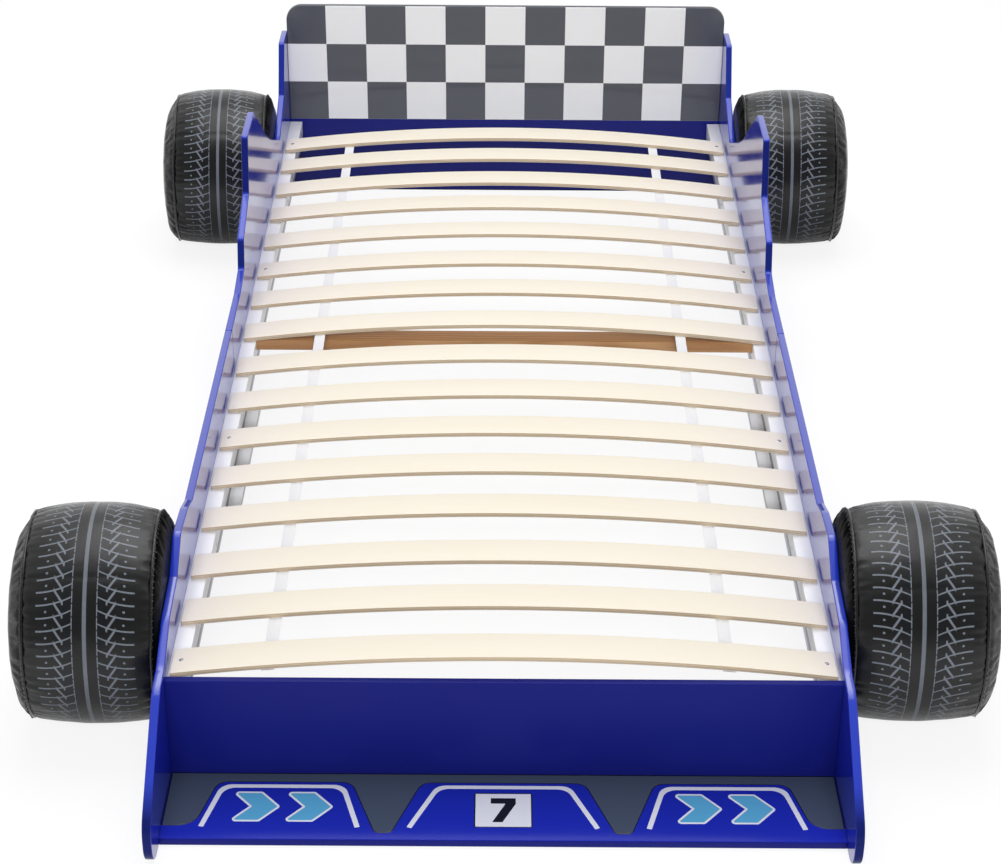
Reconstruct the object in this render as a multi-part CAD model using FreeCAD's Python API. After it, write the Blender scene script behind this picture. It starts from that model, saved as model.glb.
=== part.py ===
import FreeCAD, Part

import math
import os

from FreeCAD import Vector

# A child's bed in the form of a racing car, for a 2000 x 900 mm mattress.
# Row frame: origin on the floor under the middle of the bed, +X to the right seen from
# the foot end, +Y towards the headboard, +Z up. All sizes are in millimetres.

# ---- overall ---------------------------------------------------------------------------
bed_length = 2222.0
inner_width = 914.0
board_thickness = 12.0
deck_height = 165.0            # top of the slats at their ends
panel_flat_height = 238.0      # side panel between the two wheels
front_end = -bed_length / 2
rear_end = bed_length / 2
panel_inner = inner_width / 2
panel_outer = panel_inner + board_thickness
splice_y = -33.0               # butt joint between the front and rear panel halves

# ---- boards across the bed -------------------------------------------------------------
bulkhead_rear = -912.0
bulkhead_front = bulkhead_rear - board_thickness
bulkhead_top = 168.0
nose_front = -1061.0
headboard_front = 1094.0
headboard_rear = headboard_front + board_thickness
headboard_height = 414.0
headboard_corner = 32.0

# ---- slats, straps and what carries them -----------------------------------------------
slat_length = 906.0
slat_width = 56.0
slat_thickness = 8.0
slat_rise = 30.0
slat_gaps_front_to_rear = (121, 116, 128, 121, 118, 123, 124, 127, 125, 120, 127, 123, 118, 119, 109)
first_slat_front = -901.0
screwed_slats = (1, 6, 11, 16)
rail_width = 25.0
rail_height = 42.0
rail_end_gap = 1.0
strap_width = 18.0
strap_thickness = 1.0
strap_centres = {"left": -320.0, "right": 305.0}
beam_front = 87.0
beam_width = 40.0
beam_height = 20.0
batten_front = -401.0
batten_rear = -51.0
batten_width = 20.0
batten_height = 12.0

# ---- splice between the panel halves ---------------------------------------------------
splice_plate_length = 240.0
splice_plate_height = 56.0
splice_plate_thickness = 12.0
splice_screw_offsets = (-90.0, -40.0, 40.0, 90.0)

# ---- wheel cushions --------------------------------------------------------------------
wheel_radius = 156.0
wheel_sink = 1.5               # how far the weight flattens the cushion on the floor
wheel_centres = {"front": -734.0, "rear": 861.0}
wheel_width = 226.0            # from the panel to the crown of the outer face
inner_seam = 15.0              # both seams, measured outwards from the panel
outer_seam = 179.0
seam_radius = 142.0
back_flat_radius = 112.0       # where the cushion lies flat on the panel
cover_thickness = 2.0
core_radius = 132.0
core_shoulder = 168.0          # where the foam starts to taper towards the outer face
core_face_radius = 60.0
core_outer_face = 210.0
backing_thickness = 12.0
wheel_bolt_spacing = 120.0
wheel_bolt_height = 80.0

wheel_sides = 32               # flats round a cushion
core_sides = 16

# ---- fittings --------------------------------------------------------------------------
# Small round fittings and their holes are drawn as bars with six flats.
fitting_sides = 6
bolt_radius = 3.0
bolt_head_radius = 7.0
bolt_head_height = 2.5
tee_nut_barrel_radius = 4.0
tee_nut_flange_radius = 10.0
tee_nut_flange = 1.5
screw_radius = 2.0
screw_head_radius = 4.0
screw_head_height = 2.4
screw_bite = 9.0               # how far a screw reaches into a side panel
rail_screw_count = 7
rail_screw_inset = 60.0
slat_screw_inset = 13.0
slat_screw_length = 28.0
cam_radius = 7.5
cam_depth = 10.0
cam_distance = 24.0            # from the board's end to the cam's centre
cam_bolt_radius = 3.0
cam_bolt_stop = 2.0            # the bolt's tip ends this far short of the cam's centre
cam_bolt_in_panel = 9.0
headboard_cam_heights = (60.0, 200.0, 330.0)
bulkhead_cam_heights = (45.0, 130.0)
nose_cam_places = (-1038.0, -951.0)
dowel_radius = 3.0
dowel_in_panel = 8.0
dowel_in_board = 22.0
headboard_dowel_heights = (100.0, 290.0)
bulkhead_dowel_height = 88.0
nose_dowel_place = -996.0
bulkhead_screw_places = (-300.0, 0.0, 300.0)
bulkhead_screw_length = 42.0
beam_dowel_inset = 10.0        # from the lath's edges
beam_dowel_in_beam = 20.0
beam_dowel_in_rail = 16.0


def box(x_range, y_range, z_range):
    """A block between two values on each axis."""
    size = (x_range[1] - x_range[0], y_range[1] - y_range[0], z_range[1] - z_range[0])
    return Part.makeBox(*size, Vector(x_range[0], y_range[0], z_range[0]))


def ring(radius, centre, along, sides):
    """Corners of a regular polygon round a point, square to a direction, a flat at its bottom."""
    upright = Vector(0, 0, 1) if abs(along.z) < 0.5 * along.Length else Vector(0, 1, 0)
    across = along.cross(upright).normalize()
    corners = []
    for step in range(sides):
        angle = 2 * math.pi * (step + 0.5) / sides
        spoke = upright * math.cos(angle) + across * math.sin(angle)
        corners.append(centre + spoke * radius)
    return corners


def flat_face(corners):
    """A plane face with the given corners."""
    return Part.Face(Part.makePolygon(corners + corners[:1]))


def faceted(rings):
    """A closed solid with flat faces between one polygon and the next."""
    faces = [flat_face(rings[0]), flat_face(rings[-1][::-1])]
    for near, far in zip(rings, rings[1:]):
        for step in range(len(near)):
            faces.append(flat_face([near[step], near[step - 1], far[step - 1], far[step]]))
    solid = Part.makeSolid(Part.makeShell(faces))
    if solid.Volume < 0:
        solid.reverse()
    return solid


def bar(radius, start, end, sides=fitting_sides):
    """A straight bar with flat sides between two points."""
    along = end.sub(start)
    return faceted([ring(radius, point, along, sides) for point in (start, end)])


def mirrored(shape):
    """The same shape on the other side of the bed."""
    return shape.mirror(Vector(0, 0, 0), Vector(1, 0, 0))


def group(shapes):
    """Several separate solids kept as one node."""
    return Part.makeCompound(shapes)


def cut_all(shape, tools):
    """The shape with every tool's space taken out of it."""
    return shape.cut(group(tools)) if tools else shape


def rounded_corner(before, corner, after, radius):
    """Start, middle and end of the arc that rounds a corner."""
    back = before.sub(corner).normalize()
    ahead = after.sub(corner).normalize()
    half_angle = back.getAngle(ahead) / 2
    reach = radius / math.tan(half_angle)
    bisector = back.add(ahead).normalize()
    to_arc = radius / math.sin(half_angle) - radius
    return corner + back * reach, corner + bisector * to_arc, corner + ahead * reach


def rounded_outline(corners):
    """A closed wire of straight runs joined by arcs, from (point, radius) corners."""
    arcs = []
    for index, (corner, radius) in enumerate(corners):
        before = corners[index - 1][0]
        after = corners[(index + 1) % len(corners)][0]
        arcs.append(rounded_corner(before, corner, after, radius))
    edges = []
    for index, (start, middle, end) in enumerate(arcs):
        edges.append(Part.Arc(start, middle, end).toShape())
        next_start = arcs[(index + 1) % len(arcs)][0]
        edges.append(Part.makeLine(end, next_start))
    return Part.Wire(Part.__sortEdges__(edges))


def board_from_outline(corners, thickness_vector):
    """A flat board with a rounded outline."""
    return Part.Face(rounded_outline(corners)).extrude(thickness_vector)


# ---- side panels -----------------------------------------------------------------------

def right_panel():
    """The whole right side as one outline, later parted at the splice."""
    outline = (
        # nose and front wing, from the foot end
        (front_end, 0.0, 35.0),
        (front_end, 68.0, 42.0),
        (-954.0, 177.0, 60.0),
        (-910.0, 180.0, 40.0),
        (-838.0, 213.0, 60.0),
        (-753.0, 222.0, 4.0),
        (-694.0, 259.0, 24.0),
        (-618.0, 252.0, 60.0),
        (-573.0, panel_flat_height, 6.0),
        # level stretch, then the step up to the fin
        (104.0, panel_flat_height, 20.0),
        (176.0, 250.0, 9.0),
        (192.0, 301.0, 10.0),
        (300.0, 339.0, 9.0),
        (327.0, 438.0, 7.0),
        (442.0, 438.0, 7.0),
        # back slope of the fin, the notch and the endplate
        (656.0, 296.5, 600.0),
        (863.0, 210.0, 25.0),
        (983.0, 258.0, 10.0),
        (1033.0, 355.0, 9.0),
        (rear_end, 355.0, 5.0),
        (rear_end, 0.0, 35.0),
    )
    corners = [(Vector(panel_inner, y, z), radius) for y, z, radius in outline]
    return board_from_outline(corners, Vector(board_thickness, 0, 0))


def panel_half(panel, y_range):
    """The part of a side panel between two places along the bed."""
    return panel.common(box((panel_inner - 1, panel_outer + 1), y_range, (-1, 500)))


# ---- boards across the bed -------------------------------------------------------------

def headboard():
    """Upright board at the head, rounded at its two top corners."""
    corners = (
        (-panel_inner, 0.0, 1.0),
        (panel_inner, 0.0, 1.0),
        (panel_inner, headboard_height, headboard_corner),
        (-panel_inner, headboard_height, headboard_corner),
    )
    points = [(Vector(x, headboard_front, z), radius) for x, z, radius in corners]
    return board_from_outline(points, Vector(0, board_thickness, 0))


def bulkhead():
    """Upright board at the foot of the mattress, standing on the nose board."""
    span = (-panel_inner, panel_inner)
    return box(span, (bulkhead_front, bulkhead_rear), (board_thickness, bulkhead_top))


def nose_board():
    """Flat board at floor level between the two noses."""
    return box((-panel_inner, panel_inner), (nose_front, bulkhead_rear), (0, board_thickness))


# ---- slats -----------------------------------------------------------------------------

half_slat = slat_length / 2
slat_arc_radius = (half_slat ** 2 + slat_rise ** 2) / (2 * slat_rise)
slat_arc_centre = deck_height + slat_rise - slat_arc_radius
slat_end_angle = math.asin(half_slat / slat_arc_radius)
rail_top = deck_height - slat_thickness * math.cos(slat_end_angle)


def arc_point(radius, angle, y):
    """A point of the slats' curve, at an angle from straight up."""
    height = slat_arc_centre + radius * math.cos(angle)
    return Vector(radius * math.sin(angle), y, height)


def bowed_strip(outer_radius, thickness, angles, y_range):
    """A strip that follows the slats' curve between two angles."""
    first, last = angles
    middle = (first + last) / 2
    inner_radius = outer_radius - thickness
    y = y_range[0]
    top = [arc_point(outer_radius, angle, y) for angle in (first, middle, last)]
    under = [arc_point(inner_radius, angle, y) for angle in (last, middle, first)]
    edges = [
        Part.Arc(*top).toShape(),
        Part.makeLine(top[2], under[0]),
        Part.Arc(*under).toShape(),
        Part.makeLine(under[2], top[0]),
    ]
    return Part.Face(Part.Wire(edges)).extrude(Vector(0, y_range[1] - y_range[0], 0))


def slat_fronts():
    """Front edge of every slat, front to rear, on the uneven spacing of the bed."""
    fronts = [first_slat_front]
    for pitch in slat_gaps_front_to_rear:
        fronts.append(fronts[-1] + pitch)
    return fronts


def slat(front):
    """One slat, bowed upwards and resting on the rails at its ends."""
    angles = (-slat_end_angle, slat_end_angle)
    return bowed_strip(slat_arc_radius, slat_thickness, angles, (front, front + slat_width))


def strap(centre_x, fronts):
    """A ribbon under all the slats that keeps them apart."""
    underside = slat_arc_radius - slat_thickness
    angles = [math.asin((centre_x + side * strap_width / 2) / underside) for side in (-1, 1)]
    return bowed_strip(underside, strap_thickness, angles, (fronts[0], fronts[-1] + slat_width))


# ---- rails and what ties them ----------------------------------------------------------

rail_inner = panel_inner - rail_width
rail_bottom = rail_top - rail_height


def rail():
    """The right-hand rail that carries the ends of the slats."""
    y_range = (bulkhead_rear + rail_end_gap, headboard_front - rail_end_gap)
    return box((rail_inner, panel_inner), y_range, (rail_bottom, rail_top))


def batten():
    """The right-hand batten, under the rail and standing out from it."""
    z_range = (rail_bottom - batten_height, rail_bottom)
    x_range = (rail_inner - batten_width, panel_inner - splice_plate_thickness)
    return box(x_range, (batten_front, batten_rear), z_range)


def cross_beam():
    """Lath between the rails, level with their tops."""
    y_range = (beam_front, beam_front + beam_width)
    return box((-rail_inner, rail_inner), y_range, (rail_top - beam_height, rail_top))


def splice_plate():
    """The right-hand plate behind the joint of the panel halves."""
    x_range = (panel_inner - splice_plate_thickness, panel_inner)
    y_range = (splice_y - splice_plate_length / 2, splice_y + splice_plate_length / 2)
    return box(x_range, y_range, (rail_bottom - splice_plate_height, rail_bottom))


# ---- wheel cushions --------------------------------------------------------------------
# A wheel is drawn in its own half plane: "out" is the distance from the panel, "up" the
# distance from the wheel's axis. It is then turned about that axis.

def turned(profile, sides):
    """A closed form round the wheel's axis, with a ring at each (out, up) corner."""
    outwards = Vector(1, 0, 0)
    rings = [ring(up, Vector(out, 0, 0), outwards, sides) for out, up in profile]
    return faceted(rings)


def tread_crown(runs):
    """Crowned tread between its two seams, as a parabola in straight runs."""
    points = []
    for step in range(runs + 1):
        share = step / runs
        lift = (wheel_radius - seam_radius) * 4 * share * (1 - share)
        points.append((inner_seam + (outer_seam - inner_seam) * share, seam_radius + lift))
    return points


def outer_bulge(runs):
    """Stuffed outer face from its seam inwards, as most of a quarter ellipse."""
    points = []
    for step in range(1, runs):
        angle = math.pi / 2 * step / runs
        out = outer_seam + (wheel_width - outer_seam) * math.sin(angle)
        points.append((out, seam_radius * math.cos(angle)))
    return points


def cushion_profile():
    """The stuffed cushion: flat back drawn in to its seam, crowned tread, full outer face."""
    back = [(0, back_flat_radius), (inner_seam / 3, back_flat_radius + 19)]
    button = [(wheel_width, 20.0)]
    return back + tread_crown(6) + outer_bulge(5) + button


def core_profile():
    """Space inside the cover: the plywood disc and the foam fill it."""
    return [
        (cover_thickness, back_flat_radius),
        (cover_thickness + inner_seam, core_radius),
        (core_shoulder, core_radius),
        (core_outer_face, core_face_radius),
    ]


def wheel_pieces():
    """A right-hand wheel's soft pieces, in place outside the panel at Y = 0."""
    axis_height = wheel_radius - wheel_sink
    cushion = turned(cushion_profile(), wheel_sides)
    inside = turned(core_profile(), core_sides)
    disc_edge = cover_thickness + backing_thickness
    disc_ends = (Vector(cover_thickness, 0, 0), Vector(disc_edge, 0, 0))
    disc = bar(back_flat_radius, *disc_ends, core_sides)
    pieces = {
        "cover": cushion.cut(inside),
        "foam": inside.cut(disc),
        "disc": disc,
    }
    for shape in pieces.values():
        shape.translate(Vector(panel_outer, 0, axis_height))
    floor = box((panel_outer - 1, panel_outer + 400), (-200, 200), (-50, 0))
    pieces["cover"] = pieces["cover"].cut(floor)
    return pieces


def bolt_places(centre_y):
    """Y of both bolts of a wheel."""
    return [centre_y + side * wheel_bolt_spacing / 2 for side in (-1, 1)]


nut_flange_x = panel_outer + cover_thickness + backing_thickness
nut_end_x = nut_flange_x + tee_nut_flange


def wheel_bolt(y):
    """Bolt from inside the bed, through the panel into the wheel's tee nut."""
    z = wheel_bolt_height
    head_start = Vector(panel_inner - bolt_head_height, y, z)
    head = bar(bolt_head_radius, head_start, Vector(panel_inner, y, z))
    return head.fuse(bar(bolt_radius, Vector(panel_inner, y, z), Vector(nut_end_x, y, z)))


def tee_nut(y):
    """Flanged nut pressed into the plywood disc from its foam side."""
    z = wheel_bolt_height
    barrel_start = Vector(panel_outer + cover_thickness, y, z)
    barrel = bar(tee_nut_barrel_radius, barrel_start, Vector(nut_end_x, y, z))
    flange_start = Vector(nut_flange_x, y, z)
    flange = bar(tee_nut_flange_radius, flange_start, Vector(nut_end_x, y, z))
    thread = bar(bolt_radius, barrel_start, Vector(nut_end_x, y, z))
    return barrel.fuse(flange).cut(thread)


def wheel_fittings(centre_y):
    """Bolts, nuts and the spaces they take, for one wheel."""
    bolts = [wheel_bolt(y) for y in bolt_places(centre_y)]
    nuts = [tee_nut(y) for y in bolt_places(centre_y)]
    return bolts, nuts


# ---- screws, cam locks and dowels ------------------------------------------------------

def screw(head_top, tip_end):
    """Countersunk screw: its head's top is at the first point, its tip at the second."""
    along = tip_end.sub(head_top)
    neck = head_top + along * (screw_head_height / along.Length)
    sizes = ((screw_head_radius, head_top), (screw_radius, neck), (screw_radius, tip_end))
    return faceted([ring(radius, centre, along, fitting_sides) for radius, centre in sizes])


def spread(first, last, count):
    """Evenly spaced places, both ends included."""
    return [first + (last - first) * index / (count - 1) for index in range(count)]


def slat_screws(fronts):
    """One screw in the right-hand end of each slat that is fixed."""
    screws = []
    x = half_slat - slat_screw_inset
    top = slat_arc_centre + math.sqrt(slat_arc_radius ** 2 - x ** 2)
    for number in screwed_slats:
        y = fronts[-number] + slat_width / 2
        screws.append(screw(Vector(x, y, top), Vector(x, y, top - slat_screw_length)))
    return screws


def rail_screws():
    """Screws through the right rail into both halves of the panel."""
    z = (rail_top + rail_bottom) / 2
    ends = (bulkhead_rear + rail_screw_inset, headboard_front - rail_screw_inset)
    places = spread(*ends, rail_screw_count)
    return [screw(Vector(rail_inner, y, z), Vector(panel_inner + screw_bite, y, z)) for y in places]


def splice_screws():
    """Screws through the right splice plate, two on each side of the joint."""
    z = rail_bottom - splice_plate_height / 2
    x = panel_inner - splice_plate_thickness
    places = [splice_y + offset for offset in splice_screw_offsets]
    return [screw(Vector(x, y, z), Vector(panel_inner + screw_bite, y, z)) for y in places]


def cam_joint(place, into_board, hidden_face):
    """Cam lock and bolt at a board's end; place is on the panel's inner face."""
    panel_side = place - into_board * cam_bolt_in_panel
    centre = place + into_board * cam_distance
    middle_to_face = board_thickness / 2
    face_point = centre + hidden_face * middle_to_face
    lock = bar(cam_radius, face_point - hidden_face * cam_depth, face_point)
    bolt = bar(cam_bolt_radius, panel_side, centre - into_board * cam_bolt_stop)
    return lock, bolt


def board_joint_places():
    """Every cam and dowel of the right-hand ends of the three cross boards."""
    head_y = headboard_front + board_thickness / 2
    bulk_y = (bulkhead_front + bulkhead_rear) / 2
    nose_z = board_thickness / 2
    to_rear = Vector(0, 1, 0)
    down = Vector(0, 0, -1)
    x = panel_inner
    cams = [(Vector(x, head_y, z), to_rear) for z in headboard_cam_heights]
    cams += [(Vector(x, bulk_y, z), to_rear) for z in bulkhead_cam_heights]
    cams += [(Vector(x, y, nose_z), down) for y in nose_cam_places]
    dowels = [Vector(x, head_y, z) for z in headboard_dowel_heights]
    dowels.append(Vector(x, bulk_y, bulkhead_dowel_height))
    dowels.append(Vector(x, nose_dowel_place, nose_z))
    return cams, dowels


def board_joints():
    """Cams, cam bolts and dowels of the right-hand side."""
    inwards = Vector(-1, 0, 0)
    cams, dowels = board_joint_places()
    locks = []
    bolts = []
    for place, hidden_face in cams:
        lock, bolt = cam_joint(place, inwards, hidden_face)
        locks.append(lock)
        bolts.append(bolt)
    reach = (inwards * dowel_in_panel, inwards * dowel_in_board)
    pins = [bar(dowel_radius, place - reach[0], place + reach[1]) for place in dowels]
    return locks, bolts, pins


def bulkhead_screws():
    """Screws from under the nose board up into the bulkhead."""
    y = (bulkhead_front + bulkhead_rear) / 2
    tip = bulkhead_screw_length
    return [screw(Vector(x, y, 0), Vector(x, y, tip)) for x in bulkhead_screw_places]


def beam_dowels():
    """Two dowels in the right end of the cross-beam."""
    z = rail_top - beam_height / 2
    places = (beam_front + beam_dowel_inset, beam_front + beam_width - beam_dowel_inset)
    ends = (rail_inner - beam_dowel_in_beam, rail_inner + beam_dowel_in_rail)
    return [bar(dowel_radius, Vector(ends[0], y, z), Vector(ends[1], y, z)) for y in places]


# ---- assembly --------------------------------------------------------------------------

os.makedirs("parts", exist_ok=True)
solid_count = 0


def save(name, shape):
    """Write one sub-part and say what it holds."""
    global solid_count
    solid_count += len(shape.Solids)
    shape.exportStep("parts/" + name + ".step")
    print(name, len(shape.Solids), "solid(s),", round(shape.Volume / 1000), "cm3, valid", shape.isValid())


def both_sides(shapes):
    """Right-hand shapes with their mirror images."""
    return shapes + [mirrored(shape) for shape in shapes]


def main():
    fronts = slat_fronts()
    cams, cam_bolts, dowels = board_joints()
    rail_fixings = rail_screws()
    splice_fixings = splice_screws()
    slat_fixings = slat_screws(fronts)
    beam_pins = beam_dowels()
    nose_fixings = bulkhead_screws()
    wheels = {place: wheel_fittings(y) for place, y in wheel_centres.items()}
    wheel_bolts = [bolt for bolts, nuts in wheels.values() for bolt in bolts]
    wheel_nuts = [nut for bolts, nuts in wheels.values() for nut in nuts]

    panel_tools = cam_bolts + dowels + rail_fixings + splice_fixings + wheel_bolts
    panel = cut_all(right_panel(), panel_tools)
    halves = {
        "front": panel_half(panel, (front_end - 1, splice_y)),
        "rear": panel_half(panel, (splice_y, rear_end + 1)),
    }
    for place, shape in halves.items():
        save("side_panel_" + place + "_right", shape)
        save("side_panel_" + place + "_left", mirrored(shape))

    board_tools = both_sides(cams + cam_bolts + dowels)
    save("headboard", cut_all(headboard(), board_tools))
    save("front_bulkhead", cut_all(bulkhead(), board_tools + nose_fixings))
    save("nose_board", cut_all(nose_board(), board_tools + nose_fixings))
    save("cam_locks", group(both_sides([cut_all(lock, cam_bolts) for lock in cams])))
    save("cam_bolts", group(both_sides(cam_bolts)))
    save("wood_dowels", group(both_sides(dowels + beam_pins)))
    save("bulkhead_screws", group(nose_fixings))

    right_rail = cut_all(rail(), rail_fixings + slat_fixings + beam_pins)
    right_plate = cut_all(splice_plate(), splice_fixings)
    rail_side = {
        "slat_rail": right_rail,
        "rail_batten": batten(),
        "splice_plate": right_plate,
        "rail_screws": group(rail_fixings),
        "splice_screws": group(splice_fixings),
    }
    for name, shape in rail_side.items():
        save(name + "_right", shape)
        save(name + "_left", mirrored(shape))
    save("cross_beam", cut_all(cross_beam(), both_sides(beam_pins)))

    screws_both = both_sides(slat_fixings)
    for index, front in enumerate(fronts):
        number = len(fronts) - index
        shape = slat(front)
        if number in screwed_slats:
            shape = cut_all(shape, screws_both)
        save("slat_%02d" % number, shape)
    save("slat_screws", group(screws_both))
    for side, centre_x in strap_centres.items():
        save("slat_strap_" + side, strap(centre_x, fronts))

    pieces = wheel_pieces()
    for place, centre_y in wheel_centres.items():
        bolts, nuts = wheels[place]
        for kind, shape in pieces.items():
            placed = shape.copy()
            placed.translate(Vector(0, centre_y, 0))
            placed = cut_all(placed, bolts + nuts)
            save("wheel_" + kind + "_" + place + "_right", placed)
            save("wheel_" + kind + "_" + place + "_left", mirrored(placed))
    save("wheel_bolts", group(both_sides(wheel_bolts)))
    save("wheel_tee_nuts", group(both_sides(wheel_nuts)))
    print("solids in all:", solid_count)


main()
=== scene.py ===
from functools import reduce
from math import acos, asin, atan2, ceil, cos, degrees, exp, hypot, pi, radians, sin, sqrt, tan

import bmesh
import bpy
from mathutils import Matrix, Vector, noise


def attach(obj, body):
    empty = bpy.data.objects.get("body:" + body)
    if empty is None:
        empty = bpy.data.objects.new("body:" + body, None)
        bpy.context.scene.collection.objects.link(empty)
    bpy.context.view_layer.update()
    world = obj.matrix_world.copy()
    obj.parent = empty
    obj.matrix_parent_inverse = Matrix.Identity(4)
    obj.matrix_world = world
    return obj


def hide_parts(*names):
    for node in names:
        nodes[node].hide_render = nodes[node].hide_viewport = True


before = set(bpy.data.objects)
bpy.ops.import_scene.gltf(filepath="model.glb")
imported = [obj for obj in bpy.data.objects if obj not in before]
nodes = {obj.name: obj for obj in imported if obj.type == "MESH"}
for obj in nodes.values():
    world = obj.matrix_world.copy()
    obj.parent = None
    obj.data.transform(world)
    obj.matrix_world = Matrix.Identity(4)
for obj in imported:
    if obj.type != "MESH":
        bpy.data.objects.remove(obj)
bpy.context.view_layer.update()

MM = 0.001
SIDES = (("right", 1), ("left", -1))

# ---- sizes that the pieces share, in millimetres
FRONT_END, REAR_END = -1111.0, 1111.0
PANEL_IN, PANEL_OUT = 457.0, 469.0
FLAT_TOP = 238.0
SPLICE_Y = -33.0
BOARD = 12.0
SPAN = PANEL_IN - 0.1  # half the length of a board across the bed
BULKHEAD_Y = (-924.0, -912.0)
BULKHEAD_TOP = 168.0
NOSE_FRONT = -1061.0
HEAD_Y = (1094.0, 1106.0)
HEAD_TOP = 414.0
HEAD_CORNER = 32.0
CHEQUER = 0.0833  # side of a printed square, in metres
CHEQUER_FOOT = HEAD_TOP - 250.0  # the print's lower edge
DECK = 165.0
SLAT_LENGTH, SLAT_WIDTH, SLAT_THICK, SLAT_RISE = 906.0, 56.0, 8.0, 30.0
SLAT_STEPS = (121, 116, 128, 121, 118, 123, 124, 127, 125, 120, 127, 123, 118, 119, 109)
FIRST_SLAT = -901.0
SCREWED = (1, 6, 11, 16)
HALF = SLAT_LENGTH / 2
ARC_R = (HALF ** 2 + SLAT_RISE ** 2) / (2 * SLAT_RISE)
ARC_Z = DECK + SLAT_RISE - ARC_R
ARC_END = asin(HALF / ARC_R)
VENEER = 0.0016  # thickness of one layer of a slat, in metres
RAIL_TOP = DECK - SLAT_THICK * cos(ARC_END)
RAIL_LOW = RAIL_TOP - 42.0
RAIL_IN = PANEL_IN - 25.0
RAIL_ENDS = (BULKHEAD_Y[1] + 1, HEAD_Y[0] - 1)
RAIL_SHADE_TOP = RAIL_LOW + 13  # the rails' face is dark below this height, painted shade
BEAM_Y = (87.0, 127.0)
BEAM_HEIGHT = 20.0
BATTEN_FRONT, BATTEN_LENGTH, BATTEN_IN = -401.0, 350.0, RAIL_IN - 20
PLATE_THICK, PLATE_REACH, PLATE_HEIGHT = 12.0, 120.0, 56.0  # of the plates that tie the panel halves
PLATE_IN = PANEL_IN - PLATE_THICK
STRAPS = {"left": -320.0, "right": 305.0}
STRAP_SAG = 1.6
STAPLES = (16, 40)  # behind a slat's front edge
WHEEL_R, SEAM_R, WHEEL_W = 154.5, 142.0, 226.0
SEAM_IN, SEAM_OUT = 10.0, 190.0
BACK_FLAT, BACK_GAP = 112.0, 0.4
LEAN = 8.0  # how far the stuffing shifts outwards, a quarter turn from the side that is pressed home
AXIS_Z = 154.5
PRESSED = {"right": 30.0, "left": 150.0}  # the side of a cushion that is pressed home, round its axis
WHEEL_Y = {"front": -734.0, "rear": 861.0}
PLUMP = {"left": 0.975, "right": 1.0}  # how far the stuffing fills the covers out from the panel
WHEEL_SLACK = {"left": -8.0, "right": 8.0}  # how far the covers hang off their bolts' middle
TREAD_MID = 100.0
TREAD_BARS = 54
BAND_HALF, BAR_LENGTH = 0.0175, 0.051  # the plain band round the tread, and the bars beside it, in metres
SPOKES = 300
# of each wheel: the phase of its bars, the turn of its stuffing, and the height of its tread's closing
# seam, as an angle above the side towards the foot of the bed
WHEELS = {
    ("front", "right"): (0.96, 0.0, 45.3),
    ("front", "left"): (0.36, 77.0, 52.1),
    ("rear", "right"): (0.5, 151.0, 47.0),
    ("rear", "left"): (0.05, 233.0, 46.9),
}


# ---- materials
def fill(tree, socket, value):
    if isinstance(value, bpy.types.NodeSocket):
        tree.links.new(value, socket)
    else:
        socket.default_value = value


def add_node(tree, kind, *inputs, **settings):
    """A node with its settings, and its inputs filled in order by sockets or plain values."""
    node = tree.nodes.new(kind)
    for key, value in settings.items():
        setattr(node, key, value)
    for socket, value in zip(node.inputs, inputs):
        if value is not None:
            fill(tree, socket, value)
    return node


def output_of(kind, *inputs, index=0, **settings):
    """One output of a node that is added to the tree its inputs come from."""
    tree = next(value for value in inputs if isinstance(value, bpy.types.NodeSocket)).id_data
    return add_node(tree, kind, *inputs, **settings).outputs[index]


def calc(operation, a, b=0.0, c=0.0):
    return output_of("ShaderNodeMath", a, b, c, operation=operation)


def plus(a, b):
    return calc("ADD", a, b)


def minus(a, b):
    return calc("SUBTRACT", a, b)


def times(a, b):
    return calc("MULTIPLY", a, b)


def less(a, b):
    return calc("LESS_THAN", a, b)


def absolute(a):
    return calc("ABSOLUTE", a)


def radius_of(a, b):
    return calc("SQRT", plus(times(a, a), times(b, b)))


def between(value, low, high):
    """A 0 to 1 value spread over a range."""
    return calc("MULTIPLY_ADD", value, high - low, low)


def inside(value, middle, half, soft):
    """1 where value is within half of middle, falling to 0 over soft."""
    away = absolute(minus(value, middle))
    return output_of("ShaderNodeMapRange", away, half + soft / 2, half - soft / 2)


def above(value, edge, soft):
    """0 below an edge and 1 above it."""
    return output_of("ShaderNodeMapRange", value, edge - soft / 2, edge + soft / 2)


def both(*masks):
    return reduce(times, masks)


def either(*masks):
    return reduce(lambda a, b: calc("MAXIMUM", a, b), masks)


def other_than(mask):
    return minus(1.0, mask)


def mix(share, first, second):
    colors = [(*value, 1.0) if isinstance(value, tuple) else value for value in (first, second)]
    return output_of("ShaderNodeMix", share, *[None] * 5, *colors, index=2, data_type="RGBA")


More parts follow.
